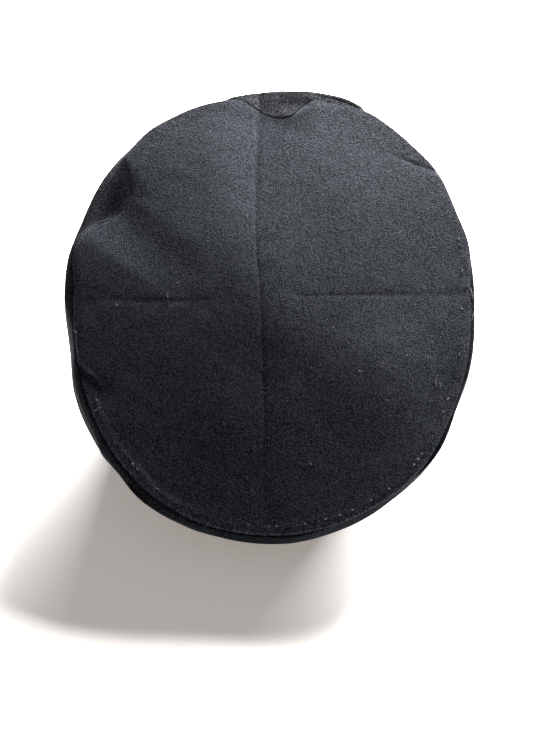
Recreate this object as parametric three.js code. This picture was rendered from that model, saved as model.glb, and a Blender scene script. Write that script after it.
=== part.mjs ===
// A soft cadet cap of dark navy wool, standing by itself on a flat surface.
//
// The crown is a large oval top panel sewn to a one-piece side panel. The side panel stands
// tall at the front, slopes down to the back and turns under to meet a narrow head band, so
// the crown overhangs the band all the way round and slouches over it at the back. A short
// stiff peak is set under the front of the band. The cloth keeps the cross-shaped creases of
// a cap that was stored folded in four, and a dent in the left front edge of the crown.
//
// Millimetres, +Z up, -Y to the front where the peak is, +X to the left of the wearer. The
// cap rests on the back of the band's lower edge and on the tip of the peak, which holds up
// the front of the band a little.
import * as THREE from "three";

// ---- Driving dimensions -------------------------------------------------------------------

const clothThickness = 1.6; // napped wool cloth with its backing
const bandThickness = 2.4; // two layers of the same cloth round a woven stay
const peakThickness = 3.2; // cloth over board
const seamGap = 0.3; // between pieces that are sewn together

// The head band, an oval for a head of about 57.5 cm. It is a little wider at its top edge.
const band = { halfWidth: 84, halfLength: 104, height: 38, flare: 1.2, bulge: 0.8 };
const frontLift = 16; // how far the peak holds up the front of the band
const pressedEdge = 1.2; // how far a soft lower edge flattens where it rests

// The peak: how far it stands out, how many degrees it is sewn to each side of the front,
// how deep it is at its corners, how full its outline is there, and its arch.
const peak = { length: 52, halfSpread: 64, corner: 3, fullness: 0.62, arch: 1.5 };

// Rings of the crown from the top seam down to where it is sewn to the band. Each is an oval
// with its heights at the front, the sides and the back. middle is the x of its centre, and
// power is 2 for an ellipse and more for a squarer oval.
const crownRings = [
  // the seam between the top and side panels
  { middle: -1, halfWidth: 121.9, front: 122, back: 139, zFront: 125.5, zSide: 80, zBack: 28.3, power: 2.13 },
  // the side panel's upper edge, rolled over
  { middle: -0.2, halfWidth: 124.8, front: 131, back: 140, zFront: 130, zSide: 76, zBack: 24.5, power: 2.07 },
  // its widest line
  { middle: 0, halfWidth: 125.4, front: 136, back: 138, zFront: 117, zSide: 64, zBack: 18.5, power: 2.02 },
  // where it turns under
  { middle: 0.5, halfWidth: 119.5, front: 131, back: 131, zFront: 92, zSide: 50, zBack: 14, power: 2.04 },
  { middle: 0, halfWidth: 104, front: 119, back: 119, zFront: 69, zSide: 42, zBack: 17, power: 2.02 },
  // beside the top of the band
  { middle: 0, halfWidth: 88.5, front: 108.5, back: 108.5, zFront: 52.8, zSide: 44.8, zBack: 36.8, power: 2 },
  // on top of the band
  {
    middle: 0,
    halfWidth: band.halfWidth,
    front: band.halfLength,
    back: band.halfLength,
    zFront: frontLift - pressedEdge + band.height + seamGap,
    zSide: frontLift / 2 - pressedEdge + band.height + seamGap,
    zBack: -pressedEdge + band.height + seamGap,
    power: 2,
  },
];
const crossing = [4, -1]; // x and y where the two storage creases cross on the top panel

// How far the middle of the top panel stands above its seam, how much of the way out its tip
// is rounded, and how full its slopes are, from 0 for a tent's to 1 for a bowl's.
const dome = { height: 11, tip: 0.28, fullness: 0.25 };

// Where the cloth is drawn along itself: at, how far round, which way, and how many rings of
// the table above it reaches down the side panel.
const pulls = [
  { name: "front_seam_back", x: 4, y: -122, radius: 30, dx: 0, dy: 8, reach: 1 },
  { name: "left_seam_in", x: 97, y: -72, radius: 28, dx: -8, dy: 3, reach: 1 },
  { name: "right_front_corner", x: -66, y: -112, radius: 68, dx: -3, dy: -6, reach: 4 },
  { name: "left_front_edge", x: 34, y: -132, radius: 44, dx: 0, dy: 3, reach: 4 },
  { name: "left_back_corner", x: 72, y: 118, radius: 46, dx: 3, dy: 3, reach: 4 },
  { name: "left_side", x: 124, y: 30, radius: 32, dx: -2, dy: 0, reach: 4 },
  { name: "right_front_side", x: -120, y: -46, radius: 36, dx: -2, dy: -1, reach: 4 },
  { name: "right_back_side", x: -106, y: 82, radius: 40, dx: -3, dy: 1, reach: 4 },
  { name: "right_back_corner", x: -62, y: 124, radius: 56, dx: 1, dy: -4, reach: 4 },
];

// Dents and creases, each along a line in plan from its start to its end. Each pushes the
// cloth inwards by its depth, out to its radius, and reaches so many rings down the side
// panel. A sharp one comes to a line.
const dents = [
  { name: "left_front_dent", from: [114, -84], to: [50, -30], radius: [28, 22], depth: [13, 2], reach: 0.9 },
  { name: "front_hollow", from: [-8, -133], to: [-28, -131], radius: [17, 15], depth: [4, 3], reach: 2 },
  { name: "right_front_dent", from: [-66, -98], to: [-50, -76], radius: [22, 18], depth: [2.5, 1], reach: 1 },
  { name: "left_back_fold", from: [124, 46], to: [100, 58], radius: [14, 10], depth: [3, 1], reach: 2 },
];
const creases = [
  { name: "right_front_fold", from: [-112, -76], to: [-78, -88], radius: [10, 8], depth: [2, 1], reach: 1 },
  { name: "front_crease", from: [6, -140], to: crossing, radius: [6, 5], depth: [1.4, 1], reach: 2 },
  { name: "back_crease", from: [0.8, 145], to: crossing, radius: [6, 5], depth: [1.4, 1], reach: 2 },
  { name: "left_crease", from: [130, 1.3], to: crossing, radius: [6, 4], depth: [1.3, 0.4], reach: 2 },
  { name: "right_crease", from: [-130, -2.7], to: crossing, radius: [6, 4], depth: [1.3, 0.4], reach: 2 },
];

// Soft upright folds round the side panel: degrees from +X towards +Y, how wide, and how far
// the cloth stands out there.
const sideFolds = [
  { angle: 28, spread: 13, height: 1.6 },
  { angle: 52, spread: 10, height: -1.4 },
  { angle: 118, spread: 12, height: 1.4 },
  { angle: 150, spread: 14, height: -1.4 },
  { angle: 205, spread: 12, height: 1.6 },
  { angle: 236, spread: 11, height: -1.6 },
  { angle: 300, spread: 12, height: -1.4 },
  { angle: 338, spread: 14, height: 1.6 },
];

// ---- Ovals, and curves through the ring table ---------------------------------------------

const spokes = 96; // points round every ring
const ringAngles = Array.from({ length: spokes }, (_, i) => (i * 2 * Math.PI) / spokes);
const { lerp: mix, clamp, degToRad, radToDeg, euclideanModulo } = THREE.MathUtils;

// The height of a ring where it passes a given y: a parabola through its three heights.
function ringHeight(ring, y) {
  const rise = (ring.zFront - ring.zSide) / ring.front;
  const fall = (ring.zSide - ring.zBack) / ring.back;
  const bend = (rise - fall) / (ring.front + ring.back);
  return ring.zSide + y * (bend * (y - ring.back) - fall);
}

// A point of an oval ring at an angle from +X, turning towards +Y.
function ovalPoint(ring, angle) {
  const outwards = (v) => Math.sign(v) * Math.abs(v) ** (2 / ring.power);
  const length = Math.sin(angle) > 0 ? ring.back : ring.front;
  const y = length * outwards(Math.sin(angle));
  return new THREE.Vector3(ring.middle + ring.halfWidth * outwards(Math.cos(angle)), y, ringHeight(ring, y));
}

// A ring between the rows of the table, on a smooth curve through each column.
function crownRingAt(place) {
  const last = crownRings.length - 1;
  const row = Math.min(Math.floor(place), last - 1);
  const rows = [row - 1, row, row + 1, row + 2].map((i) => crownRings[clamp(i, 0, last)]);
  const t = place - row;
  const smooth = (a, b, c, d) => {
    const curve = 2 * a - 5 * b + 4 * c - d + t * (3 * (b - c) + d - a);
    return b + 0.5 * t * (c - a + t * curve);
  };
  const columns = Object.keys(crownRings[0]);
  return Object.fromEntries(columns.map((column) => [column, smooth(...rows.map((r) => r[column]))]));
}

// ---- The crown's surface ------------------------------------------------------------------

// Rings of the top panel as shares of the way out to the seam, and of the side panel as
// places in the ring table.
const topShares = [0.001, 0.12, 0.26, 0.4, 0.54, 0.67, 0.79, 0.89, 0.96, 1];
const sidePlaces = [0.7, 1.1, 1.5, 1.9, 2.3, 2.8, 3.3, 3.8, 4.3, 5, 6];
const seamRow = topShares.length - 1;
const foldsEnd = 5; // the place by which the upright folds have died out

// How deep a dent presses at a point in plan. The profile gives its depth across itself.
function dentDepth(dent, point, profile) {
  const [ax, ay] = dent.from;
  const [bx, by] = [dent.to[0] - ax, dent.to[1] - ay];
  const along = clamp(((point.x - ax) * bx + (point.y - ay) * by) / (bx * bx + by * by), 0, 1);
  const away = Math.hypot(point.x - ax - along * bx, point.y - ay - along * by) / mix(...dent.radius, along);
  return mix(...dent.depth, along) * profile(Math.min(away, 1));
}

function sideFoldHeight(angle) {
  return sideFolds.reduce((sum, fold) => {
    const turn = euclideanModulo(radToDeg(angle) - fold.angle + 180, 360) - 180;
    return sum + fold.height * Math.exp(-((turn / fold.spread) ** 2));
  }, 0);
}

// Outward normals of a grid of rows, each from the points beside it. In a closed grid every
// row comes round to its own start.
function gridNormals(rows, closed) {
  const count = rows[0].length;
  return rows.map((row, i) =>
    row.map((_, j) => {
      const before = closed ? (j + count - 1) % count : Math.max(j - 1, 0);
      const after = closed ? (j + 1) % count : Math.min(j + 1, count - 1);
      const above = rows[Math.max(i - 1, 0)][j];
      const below = rows[Math.min(i + 1, rows.length - 1)][j];
      const down = new THREE.Vector3().subVectors(below, above);
      return down.cross(new THREE.Vector3().subVectors(row[after], row[before])).normalize();
    }),
  );
}

// How far the top panel stands above its seam, a share of the way out from its middle.
function domeHeight(share) {
  const tent = (Math.hypot(1, dome.tip) - Math.hypot(share, dome.tip)) / (Math.hypot(1, dome.tip) - dome.tip);
  return dome.height * mix(tent, 1 - share * share, dome.fullness);
}

// Every ring of the crown's outer surface, from the middle of the top down to the band.
function crownSurface() {
  const seam = crownRings[0];
  const topRing = (share) =>
    ringAngles.map((angle) => {
      const edge = ovalPoint(seam, angle);
      const x = mix(crossing[0], edge.x, share);
      const y = mix(crossing[1], edge.y, share);
      return new THREE.Vector3(x, y, ringHeight(seam, y) + domeHeight(share));
    });
  const sideRing = (place) => ringAngles.map((angle) => ovalPoint(crownRingAt(place), angle));
  const rings = [...topShares.map(topRing), ...sidePlaces.map(sideRing)];
  const places = [...topShares.map(() => 0), ...sidePlaces];
  const strength = (shift, place) => clamp(1 - place / shift.reach, 0, 1);

  rings.forEach((ring, i) =>
    ring.forEach((point) => {
      const { x, y } = point;
      for (const pull of pulls) {
        const away = Math.min(Math.hypot(x - pull.x, y - pull.y) / pull.radius, 1);
        const share = (1 - away * away) ** 2 * strength(pull, places[i]);
        point.x += pull.dx * share;
        point.y += pull.dy * share;
      }
    }),
  );

  const normals = gridNormals(rings, true);
  const soft = (away) => (1 - away * away) ** 2;
  const sharp = (away) => (1 - away) ** 2;
  return rings.map((ring, i) =>
    ring.map((point, j) => {
      const dented = dents.map((dent) => strength(dent, places[i]) * dentDepth(dent, point, soft));
      const creased = creases.map((line) => strength(line, places[i]) * dentDepth(line, point, sharp));
      const foldShare = Math.sin(Math.PI * Math.min(places[i] / foldsEnd, 1));
      const outwards = sideFoldHeight(ringAngles[j]) * foldShare - Math.max(...dented) - Math.max(...creased);
      return point.clone().addScaledVector(normals[i][j], outwards);
    }),
  );
}

// ---- Making a solid from a surface --------------------------------------------------------

// A closed solid: the given surface, a second one the thickness behind it, and the edges
// between them. In a closed grid every row comes round to its own start, and in a centred one
// the first row is a tiny ring that is filled in.
function clothSolid(outer, normals, thickness, { closed = true, centred = false } = {}) {
  const rows = outer.length;
  const columns = outer[0].length;
  const inset = (point, normal) => point.clone().addScaledVector(normal, -thickness);
  const inner = outer.map((row, i) => row.map((point, j) => inset(point, normals[i][j])));
  const front = (i, j) => i * columns + (j % columns);
  const back = (i, j) => rows * columns + front(i, j);
  const faces = [];
  const quad = (a, b, c, d) => faces.push(a, b, c, a, c, d);
  const last = rows - 1;
  const spans = closed ? columns : columns - 1;
  for (let j = 0; j < spans; j++) {
    for (let i = 0; i < last; i++) {
      quad(front(i, j), front(i + 1, j), front(i + 1, j + 1), front(i, j + 1));
      quad(back(i, j), back(i, j + 1), back(i + 1, j + 1), back(i + 1, j));
    }
    if (!centred) quad(front(0, j + 1), back(0, j + 1), back(0, j), front(0, j));
    quad(back(last, j), back(last, j + 1), front(last, j + 1), front(last, j));
  }
  for (let j = 1; centred && j < columns - 1; j++) {
    faces.push(front(0, 0), front(0, j), front(0, j + 1));
    faces.push(back(0, 0), back(0, j + 1), back(0, j));
  }
  for (let i = 0; !closed && i < last; i++) {
    quad(front(i, 0), back(i, 0), back(i + 1, 0), front(i + 1, 0));
    quad(front(i, spans), front(i + 1, spans), back(i + 1, spans), back(i, spans));
  }
  const positions = [...outer, ...inner].flat().flatMap((point) => point.toArray());
  const geometry = new THREE.BufferGeometry();
  geometry.setAttribute("position", new THREE.Float32BufferAttribute(positions, 3));
  geometry.setIndex(faces);
  geometry.computeVertexNormals();
  return geometry;
}

// Draws an edge row of a surface back along the cloth, towards the row beside it.
function drawnBack(rows, edge, beside) {
  const moved = (point, j) => {
    const along = rows[beside][j].clone().sub(point);
    return point.clone().add(along.setLength(seamGap / 2));
  };
  return rows.map((row, i) => (i === edge ? row.map(moved) : row));
}

// ---- Head band and peak -------------------------------------------------------------------

// The height of the band's lower edge before it is pressed flat on the surface below.
function bandEdge(y) {
  return mix(frontLift, 0, (y + band.halfLength) / (2 * band.halfLength)) - pressedEdge;
}

function bandSurface() {
  const levels = [1, 0.66, 0.33, 0];
  return levels.map((level) => {
    const swell = band.bulge * Math.sin(Math.PI * level) + band.flare * level;
    return ringAngles.map((angle) => {
      const x = (band.halfWidth + swell) * Math.cos(angle);
      const y = (band.halfLength + swell) * Math.sin(angle);
      const lower = Math.max(bandEdge(y), 0);
      return new THREE.Vector3(x, y, mix(lower, bandEdge(y) + band.height, level));
    });
  });
}

// The peak's upper surface, from its sewn edge out. It slopes down until its tip reaches the
// surface that the cap stands on, where its underside is pressed level.
function peakSurface() {
  const across = 28;
  const outwards = [0, 0.16, 0.36, 0.58, 0.8, 0.93, 1];
  const clear = seamGap + band.bulge / 2; // the band bulges a little above the sewn edge
  return outwards.map((share) =>
    Array.from({ length: across + 1 }, (_, k) => {
      const side = (2 * k) / across - 1; // -1 and 1 at the peak's two corners
      const angle = side * degToRad(peak.halfSpread);
      const x = (band.halfWidth + clear) * Math.sin(angle);
      const y = -(band.halfLength + clear) * Math.cos(angle);
      const depth = mix(peak.corner, peak.length, (1 - Math.abs(side) ** 2.4) ** peak.fullness);
      const rootZ = bandEdge(y) + peakThickness + 1;
      const tipZ = mix(rootZ, peakThickness - pressedEdge, depth / peak.length);
      const z = mix(rootZ, tipZ, share) + peak.arch * Math.sin(Math.PI * share);
      const away = new THREE.Vector3(Math.sin(0.8 * angle), -Math.cos(0.8 * angle), 0);
      return new THREE.Vector3(x, y, Math.max(z, peakThickness)).addScaledVector(away, depth * share);
    }),
  );
}

// ---- The cap ------------------------------------------------------------------------------

const navyWool = { color: 0x23262e, roughness: 0.95, metalness: 0 };

function addPiece(name, geometry) {
  const mesh = new THREE.Mesh(geometry, new THREE.MeshStandardMaterial(navyWool));
  mesh.name = name;
  cap.add(mesh);
}

const cap = new THREE.Group();

const crown = crownSurface();
const crownNormals = gridNormals(crown, true);
const topRows = drawnBack(crown.slice(0, seamRow + 1), seamRow, seamRow - 1);
const topNormals = crownNormals.slice(0, seamRow + 1);
addPiece("crown_top", clothSolid(topRows, topNormals, clothThickness, { centred: true }));
const sideRows = drawnBack(crown.slice(seamRow), 0, 1);
addPiece("crown_side", clothSolid(sideRows, crownNormals.slice(seamRow), clothThickness));

const bandRows = bandSurface();
const levelled = (row) => row.map((normal) => normal.setZ(0).normalize());
addPiece("head_band", clothSolid(bandRows, gridNormals(bandRows, true).map(levelled), bandThickness));

const peakRows = peakSurface();
const straightUp = peakRows.map((row) => row.map(() => new THREE.Vector3(0, 0, 1)));
addPiece("peak", clothSolid(peakRows, straightUp, peakThickness, { closed: false }));

// The origin is in the middle of the cap's plan, on the surface it rests on.
const extent = new THREE.Box3().setFromObject(cap, true);
const middle = extent.getCenter(new THREE.Vector3());
cap.position.set(-middle.x, -middle.y, -extent.min.z);

export default cap;
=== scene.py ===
import math
import bpy
import numpy as np
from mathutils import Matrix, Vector


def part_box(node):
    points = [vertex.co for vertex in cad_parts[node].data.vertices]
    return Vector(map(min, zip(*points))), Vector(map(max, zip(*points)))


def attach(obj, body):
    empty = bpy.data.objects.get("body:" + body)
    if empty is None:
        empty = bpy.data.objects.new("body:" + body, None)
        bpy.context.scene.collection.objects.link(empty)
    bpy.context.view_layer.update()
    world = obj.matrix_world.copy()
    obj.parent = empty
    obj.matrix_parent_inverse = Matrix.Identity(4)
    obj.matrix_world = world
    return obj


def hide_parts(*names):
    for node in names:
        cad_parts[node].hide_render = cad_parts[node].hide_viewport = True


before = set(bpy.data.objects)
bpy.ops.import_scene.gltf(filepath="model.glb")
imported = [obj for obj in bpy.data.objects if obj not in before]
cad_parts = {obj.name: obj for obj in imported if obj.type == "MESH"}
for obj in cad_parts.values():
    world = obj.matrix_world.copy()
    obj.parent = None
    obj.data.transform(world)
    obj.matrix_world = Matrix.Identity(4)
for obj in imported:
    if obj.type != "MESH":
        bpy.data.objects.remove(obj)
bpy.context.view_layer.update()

# ---- Top panel of the crown -----------------------------------------------------------------
# A large oval of heavy navy serge, pressed into a cross by lying folded in four. It is sewn face
# to face with the side panel and turned out, so its edge rolls down into the seam and the
# allowance shows as a low band inside it.

# The tables are in millimetres from the middle of the head band's oval, with +X to the cap's
# left, +Y to its back and the surface that it stands on at 0. Angles go round from +X.
band_low, band_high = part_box("head_band")
cap_middle = (band_low + band_high) / 2

# Rings of the crown from the top seam to the band: middle, half width, front, back, height at
# the front, at the sides and at the back, and power, which is 2 for an ellipse.
crown_rings = np.array([
    (-1, 121.9, 128, 139, 127.7, 80, 28.3, 2.13),  # the seam of the top panel
    (-0.4, 124.4, 130, 140, 123.5, 76.5, 25, 2.08),  # the side panel, rolled over
    (-0.1, 125.4, 134, 139.6, 120, 70.5, 21.2, 2.04),
    (0, 125.4, 136, 138, 115, 64, 18.5, 2.02),  # its widest line
    (0.5, 119.5, 131, 131, 92, 50, 14, 2.04),  # where it turns under
    (0, 104, 119, 119, 69, 42, 17, 2.02),
    (0, 88.5, 108.5, 108.5, 52.8, 44.8, 36.8, 2),  # beside the top of the band
    (0, 84, 104, 104, 53.1, 45.1, 37.1, 2),  # on top of the band
])
last_ring = len(crown_rings) - 1
crossing = np.array([4.0, -1.0])  # where the pressed creases cross
dome_height, dome_tip, dome_fullness = 11, 0.28, 0.25
cloth_thickness = 1.6
spokes = 480
ring_angles = np.linspace(0, 2 * np.pi, spokes, endpoint=False)
ring_degrees = np.degrees(ring_angles)

# Where the seam of the top panel is drawn: x, y, how far round, how far in x, y and z, and how
# many rings of the side panel go with it.
seam_pulls = [
    (-7, -128, 29, 0, 15.5, 0, 1),  # set back in the middle of the front
    (-24, -124, 13, 0, -4, 0, 1),
    (58, -114, 52, 1, -2, 0, 2.5),  # at the left front corner
    (-67, -115, 38, -1, -4.5, 0, 2.5),  # at the right front corner
    (-102, -80, 44, -3.4, -2.4, 0, 2.5),
    (82, -102, 28, 1.2, -1.2, 0, 2.5),
    (104, -60, 34, -20, 2, -1, 1),  # caved in over the left front dent
    (119, -43, 13, 0, -5, 0, 1),
    (121, -32, 26, 3.8, 0, 0, 1.5),  # out again behind it
    (-118, -34, 34, -2.2, 0, 0, 2.5),  # along the right side
    (-117, -37, 18, -1.4, 0, 0, 2.5),
    (-84, 100, 38, -0.9, 1, 0, 1),  # at the right back corner
]
# Where the side panel is drawn along: x, y, how far round, how far in x, y and z, and the ring
# by which it has faded. Each is full at the first ring.
side_pulls = [
    (122, 6, 95, 1.5, 0, 0, 5),  # all along the left
    (-6, -130, 36, 0, -3.4, 0, 1.4),  # beyond the set-back at the front
    (-42, -126, 30, 0, -4.6, 0, 1.4),
    (-66, -112, 60, -0.8, -0.8, 0, 5),  # round the front corners
    (108, -84, 42, 1.9, -3.8, 0, 5),
    (122, -8, 36, 1.2, 0, 0, 5),  # waves of the left side
    (124, 22, 28, -3.4, 0, 0, 5),
    (94, 100, 34, 1.8, 1.6, 0, 5),  # round the left back corner
    (64, 126, 38, 1.2, 2.4, 0, 5),
    (-124, 0, 36, -0.4, 0, 0, 5),  # along the right side
    (-122, 40, 32, -0.9, 0, 0, 5),
    (-98, 92, 42, -2.2, 1.6, 0, 5),  # round the back
    (76, 116, 27, 1.4, 2.3, 0, 5),
    (101, 88, 8, 1, 0.5, 0, 5),
    (-62, 124, 56, 0.8, -4.2, 0, 5),
]
# Soft dents: from and to, radius and depth at each end, and reach in rings.
dents = [
    ((97, -46), (56, -15), (20, 20), (1.2, 0.5), 0.9),  # left front
    ((-13, -122), (-21, -123), (8, 7), (0.7, 0.6), 1.6),  # hollow over the front
    ((124, 46), (100, 58), (14, 10), (1.2, 0.4), 2),  # left, behind the middle
    ((114, 43), (103, 54), (4.5, 3.5), (3.2, 1.6), 1),  # the tuck in it
]
# The pit that the side panel falls into beside the left front dent: x, y, radius and depth.
side_pit = (103, -53, 23, 3.0)
# Low swells of the top panel: x, y, radius and height.
swells = [
    (100, -10, 46, 0.7),
    (-62, 48, 46, 1.5),
    (-8, 26, 30, 0.4),
    (-18, -125, 24, 0.6),
    (22, 130, 50, -0.8),
]
# Pressed creases, point by point: x, y, depth, half width of the line, and depth and half width
# of the shallow valley that it lies in. The first runs from back to front, the next two from
# the left to the right with a gap beside the middle, and the last is short, at the right front.
creases = [
    [(2, 145, 0.25, 3, 0.2, 14), (2, 128, 0.25, 3, 0.2, 14), (5, 103, 0.24, 3, 0.15, 14),
     (3.6, 80, 0.32, 3, 0.15, 14), (4.4, 45, 0.3, 3, 0.15, 14), (5.6, 20, 0.18, 2.8, 0.15, 14),
     (6.6, -4, 0.16, 2.8, 0.2, 14), (8.4, -17, 0.16, 2.8, 0.4, 18), (9, -42, 0.14, 2.8, 0.6, 20),
     (9, -70, 0.16, 2.8, 1.4, 28), (8.2, -91, 0.3, 3, 1.8, 32), (7, -113, 0.4, 3.2, 2.2, 36),
     (7, -124, 0.3, 3.2, 2.1, 34), (7, -140, 0.3, 3.2, 1.9, 34)],
    [(130, 1.2, 0.14, 2.6, 0.1, 10), (113, 2, 0.14, 2.6, 0.1, 10), (89, 3.6, 0.18, 2.6, 0.1, 10),
     (64, 6.2, 0.16, 2.6, 0.1, 10), (42, 7, 0.1, 2.6, 0.1, 10), (30, 7, 0, 2.6, 0, 8)],
    [(-10, 5.2, 0, 2.6, 0, 8), (-18, 5, 0.07, 2.6, 0.04, 8), (-43, 4, 0.16, 2.6, 0.06, 8),
     (-73, 1.8, 0.16, 2.6, 0.06, 8), (-102, 0, 0.17, 2.6, 0.08, 8), (-123, -2.8, 0.12, 2.6, 0.1, 8)],
    [(-107, -78, 0.2, 2.8, 0.1, 8), (-92, -83, 0.25, 2.8, 0.12, 10), (-74, -90, 0.05, 2, 0.03, 8)],
]


def ring_height(rings, y):
    """Height of each ring, on a curve through its front, its sides and its back."""
    front, back, z_front, z_side, z_back = rings.T[2:7, :, None]
    rise = (z_front - z_side) / front
    fall = (z_side - z_back) / back
    return z_side + y * ((rise - fall) / (front + back) * (y - back) - fall)


def oval_rows(rings, angles):
    """A row of points for each ring, at each angle."""
    middle, half_width, front, back = rings.T[:4, :, None]
    power = rings[:, 7:8]
    across, along = np.cos(angles)[None], np.sin(angles)[None]
    x = middle + half_width * np.sign(across) * np.abs(across) ** (2 / power)
    y = np.where(along > 0, back, front) * np.sign(along) * np.abs(along) ** (2 / power)
    return np.stack([x, y, ring_height(rings, y)], -1)


def rings_at(places):
    """Rings between the rows of the table, on a smooth curve through each column."""
    row = np.minimum(np.floor(places).astype(int), last_ring - 1)
    a, b, c, d = (crown_rings[np.clip(row + k, 0, last_ring)] for k in (-1, 0, 1, 2))
    t = (places - row)[:, None]
    return b + 0.5 * t * (c - a + t * (2 * a - 5 * b + 4 * c - d + t * (3 * (b - c) + d - a)))


def grid_normals(points, closed=True):
    """Which way a grid of points faces at each of them."""
    down = np.gradient(points, axis=0)
    if closed:
        along = np.roll(points, -1, 1) - np.roll(points, 1, 1)
    else:
        along = np.gradient(points, axis=1)
    normal = np.cross(down, along)
    return normal / np.linalg.norm(normal, axis=-1, keepdims=True)


def strength(reach, places):
    """1 at the seam, fading to 0 at a place in rings, for each row of a grid."""
    return np.clip(1 - places / reach, 0, 1)[:, None]


def pulled(points, at_x, at_y, radius, *shift):
    """How far one pull of a table draws each point, in x, y and z."""
    away = np.minimum(np.hypot(points[..., 0] - at_x, points[..., 1] - at_y) / radius, 1)
    return (1 - away[..., None] ** 2) ** 2 * shift


def nearest_on(line, x, y):
    """Distance in plan from a line of (x, y, ...) rows, and its other columns there."""
    line = np.array(line, float)
    least = np.full(x.shape, np.inf)
    columns = np.zeros((line.shape[1] - 2, *x.shape))
    for start, end in zip(line[:-1], line[1:]):
        run = end[:2] - start[:2]
        share = np.clip(((x - start[0]) * run[0] + (y - start[1]) * run[1]) / (run @ run), 0, 1)
        away = np.hypot(x - start[0] - share * run[0], y - start[1] - share * run[1])
        nearer = away < least
        least = np.where(nearer, away, least)
        for k, column in enumerate(columns):
            column[nearer] = (start[k + 2] + share * (end[k + 2] - start[k + 2]))[nearer]
    return least, columns


def pressed_in(points, places):
    """How far the dents and creases push the cloth in, less what the swells lift it."""
    x, y = points[..., 0], points[..., 1]
    dented, creased = np.zeros(x.shape), np.zeros(x.shape)
    for start, end, radius, depth, reach in dents:
        line = [(*start, radius[0], depth[0]), (*end, radius[1], depth[1])]
        away, (radius, depth) = nearest_on(line, x, y)
        profile = (1 - np.minimum(away / radius, 1) ** 2) ** 2
        dented = np.maximum(dented, depth * profile * strength(reach, places))
    fading = np.interp(places, (0, 1, 2.5), (1, 1, 0))[:, None]
    for line in creases:
        away, (depth, width, valley, valley_width) = nearest_on(line, x, y)
        sharp = depth * (1 - np.minimum(away / width, 1)) ** 2
        broad = valley * (1 - np.minimum(away / valley_width, 1)) ** 1.5
        creased = np.maximum(creased, (sharp + broad) * fading)
    for at_x, at_y, radius, height in swells:
        away = np.hypot(x - at_x, y - at_y)
        dented -= height * (1 - np.minimum(away / radius, 1) ** 2) ** 2 * fading
    return dented + creased


def uneven(x, y, length, seed):
    """A gentle random swell from -1 to 1, with waves of about the given length."""
    random = np.random.default_rng(seed)
    waves, total = 9, 0
    for turn, phase, stretch in random.uniform((0, 0, 0.7), (np.pi, 2 * np.pi, 1.4), (waves, 3)):
        along = (x * np.cos(turn) + y * np.sin(turn)) / (length * stretch)
        total = total + np.sin(2 * np.pi * along + phase)
    return total / waves**0.5 / 1.5


def uneven_round(length, seed):
    """The same swell for each point of the seam, which is about 120 mm from the middle."""
    return uneven(ring_angles * 120, 0 * ring_angles, length, seed)


def step(value, low, high):
    """0 below low, 1 above high, and a smooth rise between them."""
    share = np.clip((value - low) / (high - low), 0, 1)
    return share * share * (3 - 2 * share)


def bump_at(at, spread):
    """1 at an angle in degrees, fading to 0 over the spread, for each column of the crown."""
    turn = (ring_degrees - at + 180) % 360 - 180
    return np.exp(-((turn / spread) ** 2))


def in_place(points):
    """Points in metres, where the cap stands."""
    return points * 0.001 + [cap_middle.x, cap_middle.y, 0]


def put(name, data):
    """A new object in the scene."""
    made = bpy.data.objects.new(name, data)
    bpy.context.scene.collection.objects.link(made)
    return made


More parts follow.
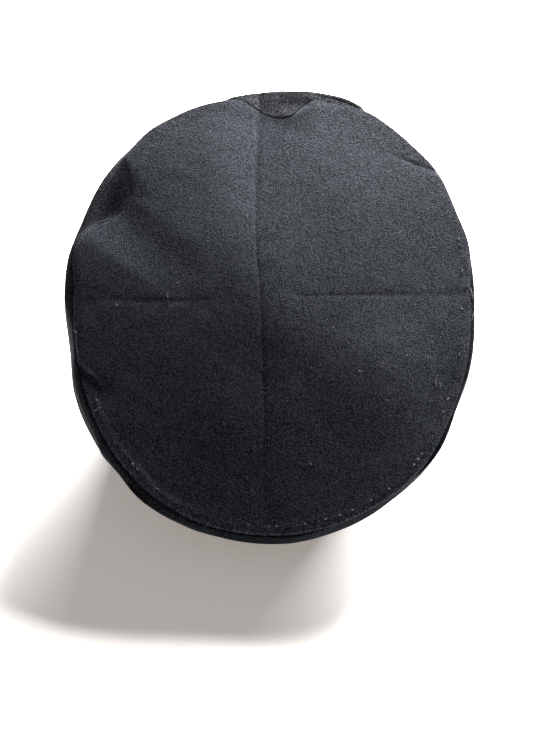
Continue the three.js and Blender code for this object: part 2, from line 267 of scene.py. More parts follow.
def cloth_piece(name, outer, normals, thickness, chart, inner_rows, centred=False, closed=True,
                wear_and_painted_light=None):
    """A closed shell of cloth: the outer grid, a coarser one behind it, and edges between them.
    chart gives each point's place on the flat cloth in millimetres. In a centred grid the first
    row is closed with a point, and a grid that isn't closed is a strip with two ends."""
    rows, columns = outer.shape[:2]
    inner = outer[inner_rows] - normals[inner_rows] * thickness
    points = [outer.reshape(-1, 3), inner.reshape(-1, 3)]
    here = np.arange(columns if closed else columns - 1)
    after = (here + 1) % columns
    faces, charts = [], []

    def add(first, second, flip=False):
        """Faces between two rows, given as their first point's index and their chart row."""
        (a, row_a), (b, row_b) = first, second
        ring = np.stack([a + here, b + here, b + after, a + after], -1)
        flat = np.stack([chart[row_a, here], chart[row_b, here],
                         chart[row_b, here + 1], chart[row_a, here + 1]], 1)
        order = [3, 2, 1, 0] if flip else [0, 1, 2, 3]
        faces.append(ring[:, order])
        charts.append(flat[:, order])

    front = [(i * columns, i) for i in range(rows)]
    back = [((rows + k) * columns, row) for k, row in enumerate(inner_rows)]
    for one, two in zip(front, front[1:]):
        add(one, two)
    for one, two in zip(back, back[1:]):
        add(one, two, flip=True)
    add(front[-1], back[-1])
    if not centred:
        add(back[0], front[0])
    faces = np.concatenate(faces).tolist()
    charts = [np.concatenate(charts).reshape(-1, 2)]

    def add_face(face, flat, flip):
        faces.append(face[::-1] if flip else face)
        charts.append(np.array(flat[::-1] if flip else flat))

    if centred:
        for (start, row), grid, flip in ((front[0], outer, False), (back[0], inner, True)):
            middle = sum(len(p) for p in points)
            points.append(grid[0].mean(0)[None])
            for j in range(columns):
                flat = [chart[0].mean(0), chart[row, j], chart[row, j + 1]]
                add_face([middle, start + j, start + (j + 1) % columns], flat, flip)
    if not closed:
        for column, flip in ((0, True), (columns - 1, False)):
            for k, (row, next_row) in enumerate(zip(inner_rows, inner_rows[1:])):
                run = range(row, next_row + 1)
                face = [i * columns + column for i in run]
                face += [(rows + k + 1) * columns + column, (rows + k) * columns + column]
                flat = [chart[i, column] for i in (*run, next_row, row)]
                add_face(face, flat, flip)
    points = in_place(np.concatenate(points))
    mesh = bpy.data.meshes.new(name)
    mesh.from_pydata(points.tolist(), [], faces)
    layer = mesh.uv_layers.new(name="cloth")
    layer.data.foreach_set("uv", np.concatenate(charts).astype(np.float32).ravel())
    # Paler share at each point: real abrasion on the top panel, painted light on the side panel.
    worn_and_lit = np.zeros(len(points), np.float32)
    if wear_and_painted_light is not None:
        worn_and_lit[: rows * columns] = wear_and_painted_light.ravel()
    mesh.attributes.new("wear_and_painted_light", "FLOAT", "POINT").data.foreach_set("value", worn_and_lit)
    mesh.shade_smooth()
    mesh.set_sharp_from_angle(angle=math.radians(55))
    return put(name, mesh)


class Value:
    """An output of a node, on which sums add Math nodes."""

    def __init__(self, graph, socket):
        self.graph, self.socket = graph, socket

    def maths(self, operation, *others):
        values = dict(enumerate((self, *others)))
        return self.graph.node("ShaderNodeMath", {"operation": operation}, values)

    def __add__(self, other):
        return self.maths("ADD", other)

    def __sub__(self, other):
        return self.maths("SUBTRACT", other)

    def __rsub__(self, other):
        return self.graph.node("ShaderNodeMath", {"operation": "SUBTRACT"}, {0: other, 1: self})

    def __mul__(self, other):
        return self.maths("MULTIPLY", other)

    def __truediv__(self, other):
        return self.maths("DIVIDE", other)

    __radd__ = __add__
    __rmul__ = __mul__

    def output(self, name):
        return Value(self.graph, self.socket.node.outputs[name])


class Graph:
    """A node tree, built a node at a time."""

    def __init__(self, tree):
        self.tree = tree

    def node(self, kind, settings=None, sockets=None, output=0):
        made = self.tree.nodes.new(kind)
        for name, value in (settings or {}).items():
            setattr(made, name, value)
        for name, value in (sockets or {}).items():
            if isinstance(value, Value):
                self.tree.links.new(value.socket, made.inputs[name])
            else:
                made.inputs[name].default_value = value
        return Value(self, made.outputs[output]) if made.outputs else None

    def blend(self, share, one, two):
        colours = {0: share, 6: one, 7: two}
        return self.node("ShaderNodeMix", {"data_type": "RGBA"}, colours, 2)

    def noise(self, place, scale, detail=2.0, roughness=0.5, output=0):
        values = {"Vector": place, "Scale": scale, "Detail": detail, "Roughness": roughness}
        return self.node("ShaderNodeTexNoise", {"noise_dimensions": "2D"}, values, output)


def toned(colour, share):
    """A colour made darker or paler."""
    return (*(share * channel for channel in colour[:3]), 1)


def serge(name, dark, light, faded_and_lit, relief, ribbed=0.3, sheen=0.25, gloss=0.25):
    """Napped wool serge: a twill of two threads over and one under, almost hidden by its nap,
    in a yarn of dark and light fibres, and paler where abraded and where light is painted on."""
    warp, weft = 0.76, 0.61  # from thread to thread, in millimetres
    material = bpy.data.materials.new(name)
    material.use_nodes = True
    graph = Graph(material.node_tree)
    graph.tree.nodes.clear()

    # The threads wander a little, so that the weave isn't a ruled grid.
    flat = graph.node("ShaderNodeUVMap", {"uv_map": "cloth"})
    drift = graph.noise(flat, 0.3, 2.0, 0.6, output="Color")
    drift = graph.node("ShaderNodeVectorMath", {"operation": "MULTIPLY_ADD"},
                       {0: drift, 1: (2.2, 2.2, 0), 2: flat})
    place = graph.node("ShaderNodeSeparateXYZ", None, {0: drift})
    ends = place / warp
    picks = place.output("Y") / weft

    # Each end lies over two picks, where it shows a long float, and then under one.
    end, pick = ends.maths("FLOOR"), picks.maths("FLOOR")
    over_end, over_pick = ends.maths("FRACT"), picks.maths("FRACT")
    shed = (end + pick).maths("FLOORED_MODULO", 3.0)
    raised = shed.maths("GREATER_THAN", 0.5)
    float_share = (shed - 1.0 + over_pick) * 0.5
    rounded = (over_end * math.pi).maths("SINE")
    long_float = rounded * (0.3 + 0.7 * (float_share * math.pi).maths("SINE"))
    short_float = rounded * (over_pick * math.pi).maths("SINE") * 0.55
    weave = raised * long_float + (1.0 - raised) * short_float

    # Each crossing of threads is a little darker or paler, and the nap lies over all of them.
    crossing_at = graph.node("ShaderNodeCombineXYZ", None, {0: end, 1: pick})
    next_at = graph.node("ShaderNodeCombineXYZ", None, {0: end + 1.0, 1: pick + 1.0})
    on_cloth = {"noise_dimensions": "2D"}
    yarn = graph.node("ShaderNodeTexWhiteNoise", on_cloth, {"Vector": crossing_at})
    next_yarn = graph.node("ShaderNodeTexWhiteNoise", on_cloth, {"Vector": next_at})
    hairs = graph.noise(flat, 1.3, 0.0)
    nap = graph.noise(flat, 0.4, 3.0, 0.9)
    height = weave * (0.8 * ribbed) + yarn * 0.2 + hairs * 0.4 + nap * 0.3
    fleck = (weave - 0.45) * ribbed + (yarn - 0.5) * 2.35 - (next_yarn - 0.5) * 0.55
    fleck = fleck + (hairs - 0.5) * 1.4 + 0.33
    fleck = fleck.maths("MAXIMUM", 0.0).maths("MINIMUM", 1.0)
    shade = graph.blend(fleck, dark, light)

    # Cloth is paler where the attribute says, from real abrasion and from painted light, and paler
    # in faint clouds all over.
    cloud = graph.noise(flat, 0.022, 4.0, 0.55)
    worn_and_lit = graph.node("ShaderNodeAttribute", {"attribute_name": "wear_and_painted_light"}, None, "Fac")
    made_paler = (cloud - 0.5) * 0.35 + worn_and_lit * (0.4 + hairs)
    made_paler = made_paler.maths("MAXIMUM", 0.0).maths("MINIMUM", 1.0)
    pale = graph.blend(fleck, toned(faded_and_lit, 0.3), toned(faded_and_lit, 1.5))
    shade = graph.blend(made_paler, shade, pale)

    bump = {"Strength": 1.0, "Distance": relief * 0.001, "Height": height}
    bump = graph.node("ShaderNodeBump", None, bump)
    finish = {"Base Color": shade, "Roughness": 0.95 - fleck * 0.1, "Normal": bump,
              "Specular IOR Level": gloss, "Sheen Weight": sheen, "Sheen Roughness": 0.45,
              "Sheen Tint": (0.7, 0.8, 1.0, 1.0)}
    surface = graph.node("ShaderNodeBsdfPrincipled", None, finish)
    graph.node("ShaderNodeOutputMaterial", None, {"Surface": surface})
    return material


# The top panel is a fan of rows from where the creases cross out to the seam, closer near the
# seam, and domed like a slack tent.
plain_seam = oval_rows(crown_rings[:1], ring_angles)[0]
seam_shifts = [pulled(plain_seam, *pull[:6]) for pull in seam_pulls]
seam_edge = plain_seam + sum(seam_shifts)
share = np.concatenate([np.linspace(0.004, 0.9, 104), np.linspace(0.903, 1, 40)])[:, None]
seam_row = len(share) - 1
top_flat = crossing + share[..., None] * (seam_edge[:, :2] - crossing)


def turn_and_reach(points):
    """The angle and the distance in plan of each point from where the creases cross."""
    x, y = points[..., 0] - crossing[0], points[..., 1] - crossing[1]
    return np.arctan2(y, x), np.hypot(x, y)


turn, reach = turn_and_reach(top_flat)
out_share = reach / np.interp(turn, *turn_and_reach(plain_seam), period=2 * np.pi)
tent = np.hypot(1, dome_tip) - np.hypot(out_share, dome_tip)
tent /= np.hypot(1, dome_tip) - dome_tip
dome = dome_height * (tent * (1 - dome_fullness) + (1 - out_share**2) * dome_fullness)
top_z = ring_height(crown_rings[:1], top_flat[..., 1]) + dome
top_z += (seam_edge[:, 2] - plain_seam[:, 2]) * share**14

# Its edge rolls down into the seam at the back, less at the left, and lies nearly level with the
# side panel round the right and the front.
roll_width = 2.8
shallow_edge = step(ring_degrees, 136, 160) * (1 - step(ring_degrees, 300, 314))
shallow_edge = np.minimum(shallow_edge + bump_at(331, 30), 1) - 0.1 * bump_at(258, 6)
edge_roll = (1 - shallow_edge) * (1 - 0.6 * bump_at(40, 70))
top_z -= edge_roll * np.exp(-(((1 - share) * reach[-1] / roll_width) ** 1.5))
top = np.concatenate([top_flat, top_z[..., None]], -1)

# The side panel goes on from the seam through the rings of the table, drawn along where the
# seam is, and then by its own pulls.
side_places = np.concatenate([np.linspace(0, 0.7, 22)[1:], np.linspace(0.74, 6, 72),
                              np.linspace(6.05, last_ring, 12)])
side = oval_rows(rings_at(side_places), ring_angles)
plain_side = side.copy()
for shift, pull in zip(seam_shifts, seam_pulls):
    side += shift * strength(pull[6], side_places)[..., None]
side += (top[-1] - seam_edge) * strength(1, side_places)[..., None]
for pull in side_pulls:
    share_of_pull = np.interp(side_places, (0, 1, pull[6]), (0, 1, 0))[:, None, None]
    side += pulled(plain_side, *pull[:6]) * share_of_pull
into_pit = pulled(plain_side, *side_pit)[..., 0]
side[..., 2] -= into_pit * np.interp(side_places, (0, 0.35, 0.6, 1), (0, 1, 0.8, 0))[:, None]

# Where the seam is set back, the side panel has cloth to spare: it goes on at the slope of the
# top, with a small ledge in the middle of the front, and only then folds over.
slope_across, slope_along, slope_out = 0.12, 0.34, 0.1
beyond = side[..., :2] - top[-1, :, :2]
level_with_top = top[-1, :, 2] + slope_across * beyond[..., 0] - slope_along * beyond[..., 1]
level_with_top -= slope_out * np.hypot(beyond[..., 0], beyond[..., 1])
ledge = 0.18 * bump_at(264, 4) + 0.12 * bump_at(274, 12)
level_with_top += ledge * step(-beyond[..., 1], 0, 1.2)
first_ring = int(np.argmin(np.abs(side_places - 1)))
spare = turn_and_reach(side[first_ring])[1] - turn_and_reach(top[-1])[1]
standing = step(ring_degrees, 138, 162) * (1 - step(ring_degrees, 284, 296))
standing *= step(spare, 0.6, 2.2)
levelled = standing * np.interp(side_places, (0, 1, 1.3), (1, 1, 0))[:, None]
side[..., 2] += levelled * (level_with_top - side[..., 2])
places = np.concatenate([np.zeros(len(share)), side_places])
crown = np.concatenate([top, side])


def crown_facing():
    """Which way the two panels face. The seam, which both have, faces halfway between them."""
    top_facing, side_facing = grid_normals(crown[: seam_row + 1]), grid_normals(crown[seam_row:])
    halfway = top_facing[-3] + side_facing[2]
    halfway /= np.linalg.norm(halfway, axis=-1, keepdims=True)
    return np.concatenate([top_facing[:-1], halfway[None], side_facing[1:]])


crown_normals = crown_facing()

# Soft upright folds round the side panel: at what angle, how wide in degrees, how far out.
side_folds = [
    (28, 13, 1.6), (52, 10, -1.4), (118, 12, 1.4), (150, 14, -1.4),
    (205, 12, 1.6), (236, 11, -1.6), (300, 12, -1.4), (338, 14, 1.6),
]
folded = sum(height * bump_at(at, spread) for at, spread, height in side_folds)
folded = folded * np.sin(np.pi * np.minimum(places / 6, 1))[:, None]
out = -pressed_in(crown, places)
for height, length, seed in ((0.22, 62, 4), (0.05, 21, 5)):
    out += height * uneven(crown[..., 0], crown[..., 1] - 0.6 * crown[..., 2], length, seed)

# The seam: each edge rolls down into it, the allowance lies under the top panel's edge, and
# the stitching gathers the cloth into small uneven puckers beside it.
inset = (1 - share) * np.linalg.norm(crown[seam_row] - crown[0], axis=-1)
run_down = np.linalg.norm(np.diff(crown[seam_row:], axis=0), axis=-1)
run_down = np.concatenate([np.zeros((1, spokes)), np.cumsum(run_down, 0)])
from_seam = np.concatenate([inset, run_down[1:]])
allowance_width, allowance_height = 6.4, 0.45
allowance = 0.06 + 0.94 * bump_at(55, 34) + 0.35 * bump_at(125, 30)
allowance_edge = allowance_width + 1.2 * uneven_round(30, 11)
allowance_rise = allowance_height * allowance * step(inset, 0, 1.5)
allowance_rise *= 1 - step(inset, allowance_edge - 2, allowance_edge + 2.4)
pucker_reach, seam_roll_width, groove_width = 5, 1.5, 0.9
gather = uneven_round(11, 7) * (0.6 + 0.4 * uneven_round(90, 8))
pucker_height = 0.07 + 0.15 * step(crown[..., 1], -60, 60)
out += pucker_height * gather * np.exp(-from_seam / pucker_reach) * step(from_seam, 0, 2)
out[: seam_row + 1] += allowance_rise
into_seam = (0.03 + 0.97 * edge_roll) * np.exp(-from_seam / seam_roll_width)
into_seam += 0.95 * bump_at(75, 72) * np.exp(-((from_seam / groove_width) ** 2))

# Cloth that lies level with the top is moved the way that the seam faces, as the top is.
as_top = (standing * np.interp(places, (0, 1.1, 1.8), (1, 1, 0))[:, None])[..., None]
as_top[:seam_row] = 0
outwards = crown_normals + as_top * (crown_normals[seam_row] - crown_normals)
crown = crown + outwards * out[..., None] + crown_normals * folded[..., None]
crown -= crown_normals[seam_row] * into_seam[..., None]
crown_normals = crown_facing()

# The top is laid flat at its mean slope, and worn paler along the allowance.
top, top_normals = crown[: seam_row + 1], crown_normals[: seam_row + 1]
top_slope = math.radians(20)
top_chart = np.stack([top[..., 0], top[..., 1] / math.cos(top_slope)], -1)
top_chart = np.concatenate([top_chart, top_chart[:, :1]], 1)
top_wear = 0.55 * allowance * (1 - step(inset, 5.5, 9)) * step(inset, 0.6, 2)
top_rows = [*range(0, seam_row - 8, 8), *range(seam_row - 8, seam_row + 1, 2)]
crown_top = cloth_piece("crown_top_panel", top, top_normals, cloth_thickness, top_chart,
                        top_rows, centred=True, wear_and_painted_light=top_wear)
top_cloth = serge("navy_serge", dark=(0.0025, 0.0042, 0.0088, 1), light=(0.046, 0.0525, 0.0675, 1),
                  faded_and_lit=(0.05, 0.054, 0.064, 1), relief=0.3)
crown_top.data.materials.append(top_cloth)
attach(crown_top, "root")
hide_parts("crown_top")

# ---- Side panel of the crown ----------------------------------------------------------------
# One strip of the same serge, tall at the front and narrow at the back. It rolls out from the
# top seam, folds under itself and is sewn down onto the head band, and its smoother, bluer
# face shows as a thin edge beyond the top panel.


def length_round(row):
    """The length run round a closed row, from 0 to the whole way round."""
    return np.cumsum(np.linalg.norm(np.diff(row, axis=0, prepend=row[:1], append=row[:1]), axis=-1))


side, side_normals = crown[seam_row:], crown_normals[seam_row:]
round_seam = np.tile(length_round(side[0]), (len(side), 1))
side_chart = np.stack([round_seam, np.concatenate([run_down, run_down[:, :1]], 1)], -1)

# Painted light: where it has cloth to spare beyond the seam and lies level with the top, it is
# painted paler so that it looks as lit as the top, and it is painted paler along the left and the
# back to lift the shade there.
# Painted light on the strip that lies level with the top at the front.
painted_light_round = 0.9 * step(ring_degrees, 138, 160) * (1 - step(ring_degrees, 326, 342))
painted_light_round *= step(spare, 1.5, 4)
# Painted light along the left and the back, lifting the shade on the strip there.
made_paler = np.interp(side_places, (0, 0.5, 1.6, 2.3), (0.35, 0.35, 0.12, 0))[:, None]
side_painted_light = np.zeros(side.shape[:2])
side_painted_light[1:] = painted_light_round * (1 - step(side_places, 0.7, 1.1))[:, None]
side_painted_light[1:] += made_paler * bump_at(40, 85)
side_rows = sorted({0, 9, 14, 20, *range(26, len(side), 6), len(side) - 1})
crown_side = cloth_piece("crown_side_panel", side, side_normals, cloth_thickness, side_chart,
                         side_rows, wear_and_painted_light=side_painted_light)
# Painted shade: the side panel, band and peak are the top's serge painted about three times darker,
# because they face the lamp while the top only catches it at a graze.
shaded_navy = {"dark": (0.0034, 0.0042, 0.0064, 1), "light": (0.0068, 0.0082, 0.0118, 1),
               "relief": 0.2, "gloss": 0.1}
side_cloth = serge("navy_serge_side", faded_and_lit=(0.068, 0.072, 0.084, 1), ribbed=0.15, sheen=0.03,
                   **shaded_navy)
crown_side.data.materials.append(side_cloth)
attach(crown_side, "root")
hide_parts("crown_side")

# ---- Stitches and lint on the top panel -----------------------------------------------------
# Small prick stitches of pale thread, worked by hand, hold the allowance down inside the seam;
# many are worn away. A few loose ends of thread and short pale fibres lie caught in the nap.


def thread_material(name, colour, twist):
    """Spun thread: paler and darker along its length, in grooves as fine as its twist."""
    material = bpy.data.materials.new(name)
    material.use_nodes = True
    graph = Graph(material.node_tree)
    graph.tree.nodes.clear()
    place = graph.node("ShaderNodeTexCoord").output("Object")
    along = {"Vector": place, "Scale": 900.0, "Detail": 2.0}
    along = graph.node("ShaderNodeTexNoise", None, along)
    grooves = {"Vector": place, "Scale": twist, "Distortion": 2.0}
    grooves = graph.node("ShaderNodeTexWave", None, grooves, 1)
    shade = graph.blend(along, toned(colour, 0.5), toned(colour, 1.4))
    bump = {"Strength": 0.6, "Distance": 0.00005, "Height": grooves}
    bump = graph.node("ShaderNodeBump", None, bump)
    finish = {"Base Color": shade, "Roughness": 0.9 - along * 0.2, "Normal": bump}
    surface = graph.node("ShaderNodeBsdfPrincipled", None, finish)
    graph.node("ShaderNodeOutputMaterial", None, {"Surface": surface})
    return material


def geometry_tree(name, *sizes):
    """A Geometry Nodes tree with an input for each size, in metres, and one for a material."""
    tree = bpy.data.node_groups.new(name, "GeometryNodeTree")
    tree.interface.new_socket("Geometry", in_out="INPUT", socket_type="NodeSocketGeometry")
    for size in sizes:
        tree.interface.new_socket(size, in_out="INPUT", socket_type="NodeSocketFloat")
    tree.interface.new_socket("material", in_out="INPUT", socket_type="NodeSocketMaterial")
    tree.interface.new_socket("Geometry", in_out="OUTPUT", socket_type="NodeSocketGeometry")
    graph = Graph(tree)
    return graph, graph.node("NodeGroupInput")


def finished(graph, given, instances):
    """The tree's end: real mesh, smooth, with its material."""
    real = graph.node("GeometryNodeRealizeInstances", None, {"Geometry": instances})
    smooth = graph.node("GeometryNodeSetShadeSmooth", None, {0: real})
    covered = {"Geometry": smooth, "Material": given.output("material")}
    covered = graph.node("GeometryNodeSetMaterial", None, covered)
    graph.node("NodeGroupOutput", None, {"Geometry": covered})
    return graph.tree


def thread_along(graph, path, thickness, sides):
    """A closed round thread along a curve."""
    ring = {"Resolution": sides, "Radius": thickness * 0.5}
    ring = graph.node("GeometryNodeCurvePrimitiveCircle", None, ring)
    thread = {"Curve": path, "Profile Curve": ring, "Fill Caps": True}
    return graph.node("GeometryNodeCurveToMesh", None, thread)


def grown(name, mesh, tree, **sizes):
    """A piece with the plain mesh that a tree makes from a mesh."""
    piece = put(name, mesh)
    modifier = piece.modifiers.new(name, "NODES")
    modifier.node_group = tree
    for item in tree.interface.items_tree:
        if item.name in sizes:
            modifier[item.identifier] = sizes[item.name]
    evaluated = piece.evaluated_get(bpy.context.evaluated_depsgraph_get())
    piece.data = bpy.data.meshes.new_from_object(evaluated)
    piece.modifiers.clear()
    return piece


def path_mesh(name, points, facing, shown, closed):
    """A line of points on the cloth, with the way it faces and the share of stitches that show."""
    mesh = bpy.data.meshes.new(name)
    count = len(points)
    edges = [(k, (k + 1) % count) for k in range(count if closed else count - 1)]
    mesh.from_pydata(in_place(points).tolist(), edges, [])
    attribute = mesh.attributes.new("facing", "FLOAT_VECTOR", "POINT")
    attribute.data.foreach_set("vector", np.ravel(facing))
    attribute = mesh.attributes.new("shown", "FLOAT", "POINT")
    attribute.data.foreach_set("value", np.ravel(shown))
    return mesh


def stitch_tree():
    """Stitches along a path: short bowed threads, evenly spaced and slightly uneven."""
    graph, given = geometry_tree("row_of_stitches", "spacing", "length", "thread", "unevenness")
    length, thread = given.output("length"), given.output("thread")
    path = graph.node("GeometryNodeMeshToCurve", None, {"Mesh": given.output("Geometry")})
    even = {"Curve": path, "Length": given.output("spacing")}
    even = graph.node("GeometryNodeResampleCurve", {"mode": "LENGTH"}, even)
    start = graph.node("ShaderNodeCombineXYZ", None, {0: length * -0.5, 2: thread * -0.7})
    middle = graph.node("ShaderNodeCombineXYZ", None, {2: thread * 1.7})
    end = graph.node("ShaderNodeCombineXYZ", None, {0: length * 0.5, 2: thread * -0.7})
    bow = {"Resolution": 6, "Start": start, "Middle": middle, "End": end}
    bow = graph.node("GeometryNodeCurveQuadraticBezier", None, bow)
    stitch = thread_along(graph, bow, thread, sides=6)
    number, vector = {"data_type": "FLOAT"}, {"data_type": "FLOAT_VECTOR"}
    facing = graph.node("GeometryNodeInputNamedAttribute", vector, {"Name": "facing"})
    shown = graph.node("GeometryNodeInputNamedAttribute", number, {"Name": "shown"})
    chance = graph.node("FunctionNodeRandomValue", number, {"Seed": 3}, 1)
    spread = given.output("unevenness")
    aside = {0: (-1.0, -1.0, -1.0), 1: (1.0, 1.0, 1.0), "Seed": 5}
    aside = graph.node("FunctionNodeRandomValue", vector, aside)
    aside = graph.node("ShaderNodeVectorMath", {"operation": "SCALE"}, {0: aside, "Scale": spread})
    onward = graph.node("GeometryNodeInputTangent")
    onward = graph.node("ShaderNodeVectorMath", {"operation": "ADD"}, {0: onward, 1: aside})
    stand = graph.node("FunctionNodeAlignRotationToVector", {"axis": "Z"}, {"Vector": facing})
    lie = {"Rotation": stand, "Vector": onward}
    lie = graph.node("FunctionNodeAlignRotationToVector", {"axis": "X", "pivot_axis": "Z"}, lie)
    sizes = {2: 1.0 - spread, 3: 1.0 + spread, "Seed": 7}
    sizes = graph.node("FunctionNodeRandomValue", number, sizes, 1)
    row = {"Points": even, "Selection": shown.maths("GREATER_THAN", chance), "Instance": stitch,
           "Rotation": lie, "Scale": sizes}
    return finished(graph, given, graph.node("GeometryNodeInstanceOnPoints", None, row))


def line_across(grid, measure, value):
    """The point of each column of a grid where a measure that falls down the rows is at a value."""
    columns = grid.shape[1]
    value = np.broadcast_to(value, columns)
    return np.array([[np.interp(-value[j], -measure[:, j], grid[:, j, k]) for k in range(3)]
                     for j in range(columns)])


stitches = stitch_tree()
prick_line = 5.6 + 0.5 * uneven_round(26, 21)  # how far inside the seam
prick_facing = line_across(top_normals, inset, prick_line)
prick_points = line_across(top, inset, prick_line) + 0.15 * prick_facing
prick_shown = 0.1 * (1 - step(ring_degrees, 185, 200))
prick_shown += 0.55 * step(ring_degrees, 84, 100) * (1 - step(ring_degrees, 150, 168))
prick_path = path_mesh("prick_path", prick_points, prick_facing, prick_shown, closed=True)
pale_thread = thread_material("pale_thread", (0.19, 0.19, 0.205), 2400.0)
pricks = grown("prick_stitches", prick_path, stitches, spacing=0.0042, length=0.0012, thread=0.00045,
               unevenness=0.45, material=pale_thread)
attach(pricks, "root")


def lint_tree():
    """Short bent fibres scattered over a surface."""
    graph, given = geometry_tree("scattered_lint", "density", "length", "thread")
    length, thread = given.output("length"), given.output("thread")
    scattered = {"Mesh": given.output("Geometry"), "Density": given.output("density"), "Seed": 11}
    scattered = graph.node("GeometryNodeDistributePointsOnFaces", None, scattered)
    start = graph.node("ShaderNodeCombineXYZ", None, {0: length * -0.5, 2: thread})
    middle = graph.node("ShaderNodeCombineXYZ", None, {1: length * 0.6, 2: thread * 3.0})
    end = graph.node("ShaderNodeCombineXYZ", None, {0: length * 0.4, 1: length * -0.1, 2: thread})
    bent = {"Resolution": 5, "Start": start, "Middle": middle, "End": end}
    bent = graph.node("GeometryNodeCurveQuadraticBezier", None, bent)
    fibre = thread_along(graph, bent, thread, sides=4)
    vector = {"data_type": "FLOAT_VECTOR"}
    turned = {0: (0.0, 0.0, 0.0), 1: (0.0, 0.0, 6.28), "Seed": 13}
    turned = graph.node("FunctionNodeRandomValue", vector, turned)
    turned = {"Rotation": scattered.output("Rotation"), "Rotate By": turned}
    turned = graph.node("FunctionNodeRotateRotation", {"rotation_space": "LOCAL"}, turned)
    sizes = {0: (0.2, 0.3, 1.0), 1: (1.0, 1.0, 1.0), "Seed": 17}
    sizes = graph.node("FunctionNodeRandomValue", vector, sizes)
    laid = {"Points": scattered, "Instance": fibre, "Rotation": turned, "Scale": sizes}
    return finished(graph, given, graph.node("GeometryNodeInstanceOnPoints", None, laid))


lint_rows = crown[0:seam_row:12] + 0.12 * crown_normals[0:seam_row:12]
lint_faces = []
for row in range(0, (len(lint_rows) - 1) * spokes, spokes):
    next_row = row + spokes
    for here in range(spokes):
        after = (here + 1) % spokes
        lint_faces.append([row + here, next_row + here, next_row + after, row + after])
lint_ground = bpy.data.meshes.new("lint_ground")
lint_ground.from_pydata(in_place(lint_rows.reshape(-1, 3)).tolist(), [], lint_faces)
lint = grown("lint", lint_ground, lint_tree(), density=3200.0, length=0.0022, thread=0.00016,
             material=thread_material("pale_lint", (0.3, 0.29, 0.28), 4000.0))
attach(lint, "root")

# Loose ends of thread: x, y, heading in degrees, length, and how far they curl over that length.
loose_ends = [
    (106, 67, 160, 5, 100), (120, 18, 100, 4, 60), (-100, 50, 60, 4.5, 70),
    (-101, 52, 150, 3, -60), (-123, -6, 95, 6, 12), (-124, 9, 80, 5, -10),
    (36, 131, 20, 5, 40), (62, 1, 30, 4, 120),
]
end_steps = 12


def loose_end_tree():
    """A round thread along each line."""
    graph, given = geometry_tree("thread_along_lines", "thread")
    path = graph.node("GeometryNodeMeshToCurve", None, {"Mesh": given.output("Geometry")})
    return finished(graph, given, thread_along(graph, path, given.output("thread"), sides=6))


ground = crown[: seam_row + 12].reshape(-1, 3)
end_points, end_edges = [], []
for x, y, heading, length, curl in loose_ends:
    for k in range(end_steps + 1):
        under = ground[np.hypot(ground[:, 0] - x, ground[:, 1] - y).argmin(), 2]
        end_points.append((x, y, under + 0.2 + 0.5 * math.sin(math.pi * k / end_steps)))
        if k:
            end_edges.append((len(end_points) - 2, len(end_points) - 1))
        bearing = math.radians(heading + curl * k / end_steps)
        x += math.cos(bearing) * length / end_steps
        y += math.sin(bearing) * length / end_steps
end_path = bpy.data.meshes.new("end_path")
end_path.from_pydata(in_place(np.array(end_points)).tolist(), end_edges, [])
ends = grown("loose_ends", end_path, loose_end_tree(), thread=0.0003, material=pale_thread)
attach(ends, "root")

# ---- Head band ------------------------------------------------------------------------------
# An upright oval of two layers of the serge round a woven stay, for a head of about 57.5 cm.
# The crown is sewn to its top edge, and it rests on the back of its lower edge.

half_width, half_length, band_height, band_thickness = 84, 104, 38, 2.4
band_flare, band_bulge, front_lift, pressed_edge = 1.2, 0.8, 16, 1.2
edge_radius, edge_turn = 0.7, 0.5


def band_edge(y):
    """Height of the band's lower edge, which rises to the front."""
    return front_lift * (0.5 - y / (2 * half_length)) - pressed_edge


levels = np.concatenate([[1, 0.985, 0.965], np.linspace(0.94, 0.06, 30), [0.035, 0.015, 0]])
levels = levels[:, None]
up, down = levels * band_height / edge_radius, (levels - 1) * band_height / edge_radius
swell = band_bulge * np.sin(np.pi * levels) + band_flare * levels
swell = swell - edge_turn * (np.exp(-up) + np.exp(down))
run_round = ring_angles * ((half_width + half_length) / 2)
waves = 0.15 * uneven(run_round, levels * band_height, 40, 12)
swell = swell + waves * np.sin(np.pi * levels)
band_x = (half_width + swell) * np.cos(ring_angles)
band_y = (half_length + swell) * np.sin(ring_angles)
low = np.maximum(band_edge(band_y), 0)
band_z = low + levels * (band_edge(band_y) + band_height - low)
band_points = np.stack([band_x, band_y, band_z], -1)
band_normals = grid_normals(band_points)
band_normals[..., 2] = 0
band_normals /= np.linalg.norm(band_normals, axis=-1, keepdims=True)
round_band = length_round(band_points[0])[None]
band_chart = np.stack(np.broadcast_arrays(round_band, -levels * band_height), -1)
band_rows = [0, 2, 5, 12, 20, 28, len(levels) - 4, len(levels) - 1]
head_band = cloth_piece("band_cloth", band_points, band_normals, band_thickness, band_chart,
                        band_rows)
# Painted shade: the band and the peak take the side panel's darker serge.
unworn_shaded_navy = {"faded_and_lit": (0.009, 0.0105, 0.014, 1), "sheen": 0.025, **shaded_navy}
head_band.data.materials.append(serge("navy_serge_band", **unworn_shaded_navy))
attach(head_band, "root")
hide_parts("head_band")

hem_rise = 5
band_rise = np.broadcast_to(levels * band_height, band_points.shape[:2])
hem_points = line_across(band_points, band_rise, hem_rise)
hem_facing = line_across(band_normals, band_rise, hem_rise)
hem_path = path_mesh("hem_path", hem_points, hem_facing, np.ones(spokes), closed=True)
navy_thread = thread_material("navy_thread", (0.02, 0.023, 0.032), 2400.0)
hem = grown("band_stitches", hem_path, stitches, spacing=0.0034, length=0.0027, thread=0.00045,
            unevenness=0.06, material=navy_thread)
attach(hem, "root")

# ---- Peak -----------------------------------------------------------------------------------
# A short stiff crescent of board covered in the serge, sewn under the front of the band. Its
# cloth is turned round the edge and held by one row of stitches, and its tip rests on the
# surface that the cap stands on.

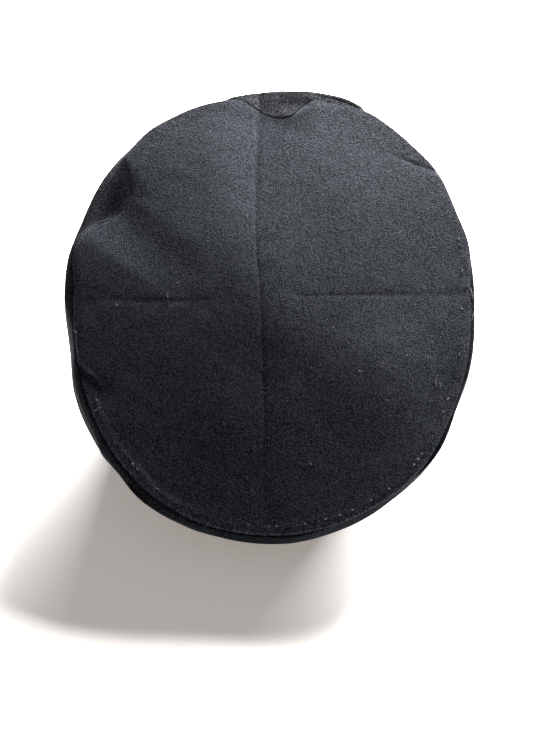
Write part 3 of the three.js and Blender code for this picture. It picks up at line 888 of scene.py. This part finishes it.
# How far the peak reaches in its middle and at its corners, half its angle round the band in
# degrees, and how full, how fanned out and how arched it is.
peak_length, peak_corner, peak_spread = 52, 3, 64
peak_fullness, peak_fan, peak_arch = 0.62, 0.8, 1.5
peak_thickness, seam_gap, peak_stitch_inset = 3.2, 0.3, 4.5
rim_turn, rim_width = 0.9, 1.6
peak_shares = np.concatenate([np.linspace(0, 0.94, 44), [0.955, 0.968, 0.979, 0.988, 0.995, 1]])
peak_shares = peak_shares[:, None]
across = np.linspace(-1, 1, 121)[None]
turn = across * math.radians(peak_spread)
clear = seam_gap + band_bulge / 2
root_x = (half_width + clear) * np.sin(turn)
root_y = -(half_length + clear) * np.cos(turn)
depth = peak_corner + (peak_length - peak_corner) * (1 - np.abs(across) ** 2.4) ** peak_fullness
root_z = band_edge(root_y) + peak_thickness + 1
tip_z = root_z + (peak_thickness - pressed_edge - root_z) * depth / peak_length
peak_z = root_z + (tip_z - root_z) * peak_shares + peak_arch * np.sin(np.pi * peak_shares)
peak_z = np.maximum(peak_z, peak_thickness)
from_edge = depth * (1 - peak_shares)
rolled = rim_turn * (1 - np.minimum(from_edge / rim_width, 1)) ** 2
peak_x = root_x + np.sin(peak_fan * turn) * depth * peak_shares
peak_y = root_y - np.cos(peak_fan * turn) * depth * peak_shares
peak_points = np.stack([peak_x, peak_y, peak_z - rolled], -1)
straight_up = np.zeros_like(peak_points)
straight_up[..., 2] = 1 - 2 * rolled / peak_thickness
peak_rows = [*range(0, 40, 8), *range(40, len(peak_shares))]
peak = cloth_piece("peak_cloth", peak_points, straight_up, peak_thickness, peak_points[..., :2],
                   peak_rows, closed=False)
peak.data.materials.append(serge("navy_serge_peak", **unworn_shaded_navy))
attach(peak, "root")
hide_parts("peak")

wide_enough = depth[0] > 2 * peak_stitch_inset
peak_normals = grid_normals(peak_points, closed=False)
rim_points = line_across(peak_points, from_edge, peak_stitch_inset)[wide_enough]
rim_facing = line_across(peak_normals, from_edge, peak_stitch_inset)[wide_enough]
rim_path = path_mesh("rim_path", rim_points, rim_facing, np.ones(len(rim_points)), closed=False)
rim = grown("peak_stitches", rim_path, stitches, spacing=0.0032, length=0.0025, thread=0.00045,
            unevenness=0.06, material=navy_thread)
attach(rim, "root")

# ---- Floor, light and camera ----------------------------------------------------------------
# A plain white floor, one large soft light low beyond the cap to its right, and a weak even
# fill. The camera looks down on the cap from behind.

half_floor = 9
corners = [(-half_floor, -half_floor, 0), (half_floor, -half_floor, 0),
           (half_floor, half_floor, 0), (-half_floor, half_floor, 0)]
floor_mesh = bpy.data.meshes.new("floor")
floor_mesh.from_pydata(corners, [], [(0, 1, 2, 3)])
floor = put("floor", floor_mesh)
paper = bpy.data.materials.new("white_paper")
paper.use_nodes = True
paper_finish = {"Base Color": (0.86, 0.85, 0.84, 1), "Roughness": 0.9,
                "Emission Color": (1.0, 0.9, 0.82, 1), "Emission Strength": 0.3}
for quality, value in paper_finish.items():
    paper.node_tree.nodes["Principled BSDF"].inputs[quality].default_value = value
floor_mesh.materials.append(paper)

top_low, top_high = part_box("crown_top")
crown_middle = (top_low + top_high) / 2
light_azimuth, light_elevation, light_distance = math.radians(-22), math.radians(17), 2.6
level = math.cos(light_elevation)
towards_light = Vector((math.sin(light_azimuth) * level, -math.cos(light_azimuth) * level,
                        math.sin(light_elevation)))
soft_light = bpy.data.lights.new("window", "AREA")
soft_light.shape, soft_light.size, soft_light.size_y = "RECTANGLE", 1.3, 0.9
soft_light.energy, soft_light.color = 1100, (1.0, 0.98, 0.96)
window = put("window", soft_light)
window.location = crown_middle + towards_light * light_distance
window.rotation_euler = towards_light.to_track_quat("Z", "Y").to_euler()
room = bpy.data.worlds.new("room")
room.use_nodes = True
room.node_tree.nodes["Background"].inputs["Color"].default_value = (0.93, 0.96, 1.0, 1)
room.node_tree.nodes["Background"].inputs["Strength"].default_value = 0.15
bpy.context.scene.world = room

lens = bpy.data.cameras.new("camera")
lens.lens, lens.sensor_width, lens.shift_x = 85, 36, 0.0014
camera = put("camera", lens)
camera_rise, camera_distance = math.radians(50), 1.058
camera_tilt, camera_turn = math.radians(90 - 51.8), math.radians(179.82)
watched = Vector((cap_middle.x, cap_middle.y + 0.0085, 0.077))
away = Vector((0, math.cos(camera_rise), math.sin(camera_rise)))
camera.location = watched + camera_distance * away
camera.rotation_euler = (camera_tilt, 0, camera_turn)
bpy.context.scene.camera = camera
bpy.context.scene.view_settings.view_transform = "Standard"
